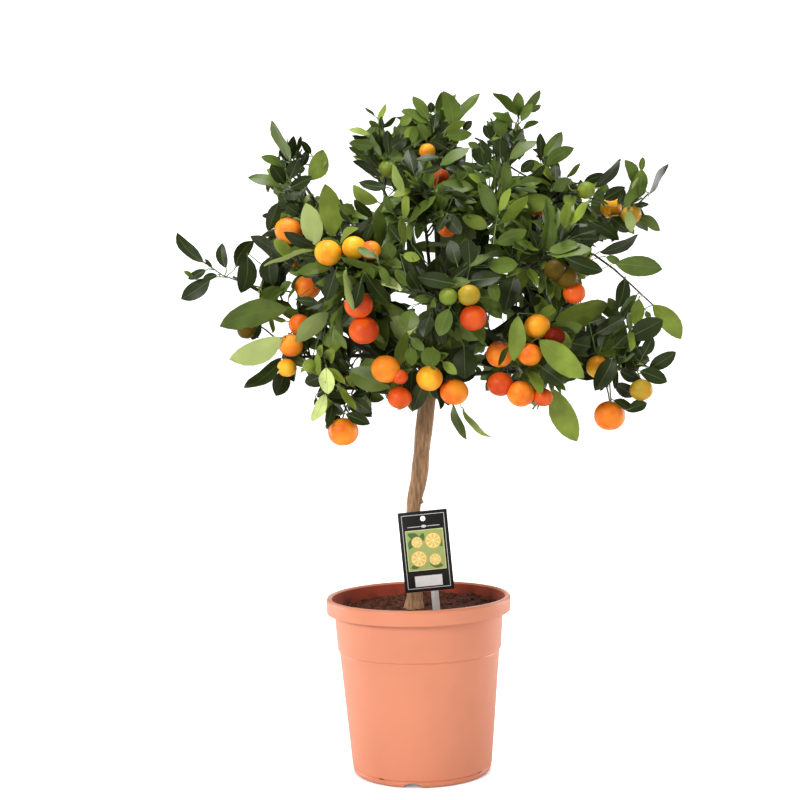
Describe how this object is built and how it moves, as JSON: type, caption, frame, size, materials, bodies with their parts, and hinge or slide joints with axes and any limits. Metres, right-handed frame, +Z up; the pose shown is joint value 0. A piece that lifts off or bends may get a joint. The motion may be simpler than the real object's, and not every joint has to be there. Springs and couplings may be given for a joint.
{
  "type": "calamondin orange tree in a nursery pot",
  "caption": "Small citrus tree on a single trunk with a round leafy head full of ripening orange fruit, in a tapered terracotta-coloured plastic nursery pot with a blank plant label.",
  "frame": {"origin": "middle of the flat underside of the pot", "axes": "+Z up along the pot's axis, -Y towards the front with the plant label, +X to the right seen from the front"},
  "size_m": [0.5452, 0.3715, 0.7363],
  "materials": {
    "terracotta_plastic": "satin moulded plastic in pale terracotta, a little darker towards the foot",
    "compost": "moist dark brown peaty compost, crumbly and matt",
    "bark": "pale tan bark with fine cracks and scars, darker below the crown",
    "young_bark": "brown-green young bark, smooth and matt",
    "foliage": "glossy leathery citrus leaves from dark to yellow-green, with paler undersides, and glossy pored fruit from green to deep orange",
    "printed_card": "smooth printed plastic card, black with a plain fruit picture and a blank white panel",
    "white_plastic": "plain white satin plastic"
  },
  "bodies": {
    "root": {"pot": "terracotta_plastic", "soil": "compost", "label_card": "printed_card", "label_stake": "white_plastic", "trunk": "bark", "bough_top_centre": "young_bark", "bough_left_shoulder": "young_bark", "bough_right_crest": "young_bark", "bough_left_side": "young_bark", "bough_right_side": "young_bark", "bough_low_right": "young_bark", "bough_centre_front": "young_bark", "bough_low_left": "young_bark", "bough_back_centre": "young_bark", "bough_back_right": "young_bark", "bough_back_left": "young_bark", "bough_top_left": "young_bark", "bough_top_right": "young_bark", "bough_upper_front": "young_bark", "bough_upper_right": "young_bark", "bough_back_high": "young_bark", "bough_left_top": "young_bark", "bough_left_front": "young_bark", "bough_far_left": "young_bark", "bough_left_low": "young_bark", "bough_right_front": "young_bark", "bough_right_top": "young_bark", "bough_far_right": "young_bark", "bough_right_low": "young_bark", "bough_low_centre": "young_bark", "bough_back_low_left": "young_bark", "bough_back_low_right": "young_bark", "foliage_top_centre": "foliage", "foliage_left_shoulder": "foliage", "foliage_right_crest": "foliage", "foliage_left_side": "foliage", "foliage_right_side": "foliage", "foliage_low_right": "foliage", "foliage_centre_front": "foliage", "foliage_low_left": "foliage", "foliage_back_centre": "foliage", "foliage_back_right": "foliage", "foliage_back_left": "foliage", "foliage_top_left": "foliage", "foliage_top_right": "foliage", "foliage_upper_front": "foliage", "foliage_upper_right": "foliage", "foliage_back_high": "foliage", "foliage_left_top": "foliage", "foliage_left_front": "foliage", "foliage_far_left": "foliage", "foliage_left_low": "foliage", "foliage_right_front": "foliage", "foliage_right_top": "foliage", "foliage_far_right": "foliage", "foliage_right_low": "foliage", "foliage_low_centre": "foliage", "foliage_back_low_left": "foliage", "foliage_back_low_right": "foliage"}
  },
  "joints": []
}
